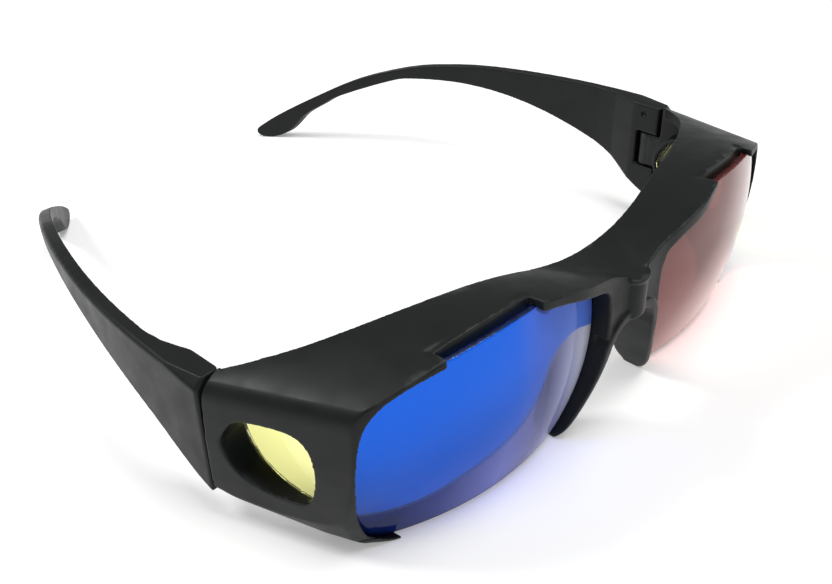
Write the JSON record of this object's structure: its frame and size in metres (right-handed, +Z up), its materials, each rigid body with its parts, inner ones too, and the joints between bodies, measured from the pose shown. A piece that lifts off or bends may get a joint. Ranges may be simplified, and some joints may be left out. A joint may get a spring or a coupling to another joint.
{
  "type": "stereo viewing glasses",
  "caption": "Wrap-around stereo viewing glasses with a blue and a red lens, yellow side windows and folding arms, shaped to go over ordinary spectacles.",
  "frame": {"origin": "on the table under the middle of the open glasses, half way between the bridge column and the arm tips", "axes": "+Z up, the front faces -Y and the arms run towards +Y, +X is the wearer's left"},
  "size_m": [0.1528, 0.1634, 0.0434],
  "materials": {
    "frame_black": "satin moulded black plastic",
    "red_lens": "clear red, polished",
    "blue_lens": "clear blue, polished",
    "yellow_plate": "clear pale yellow, polished",
    "pin_steel": "drawn steel"
  },
  "bodies": {
    "front": {"front_frame": "frame_black", "left_lens": "red_lens", "right_lens": "blue_lens", "left_side_lens": "yellow_plate", "right_side_lens": "yellow_plate", "left_hinge_pin": "pin_steel", "right_hinge_pin": "pin_steel"},
    "left_arm": {"left_temple": "frame_black"},
    "right_arm": {"right_temple": "frame_black"}
  },
  "joints": [
    {"name": "left_temple_fold", "type": "hinge", "parent": "front", "child": "left_arm", "pos_m": [0.0726, -0.03575, 0.0204], "axis": [0, 0, 1], "range_deg": [0, 84]},
    {"name": "right_temple_fold", "type": "hinge", "parent": "front", "child": "right_arm", "pos_m": [-0.0726, -0.03575, 0.0204], "axis": [0, 0, -1], "range_deg": [0, 72]}
  ]
}
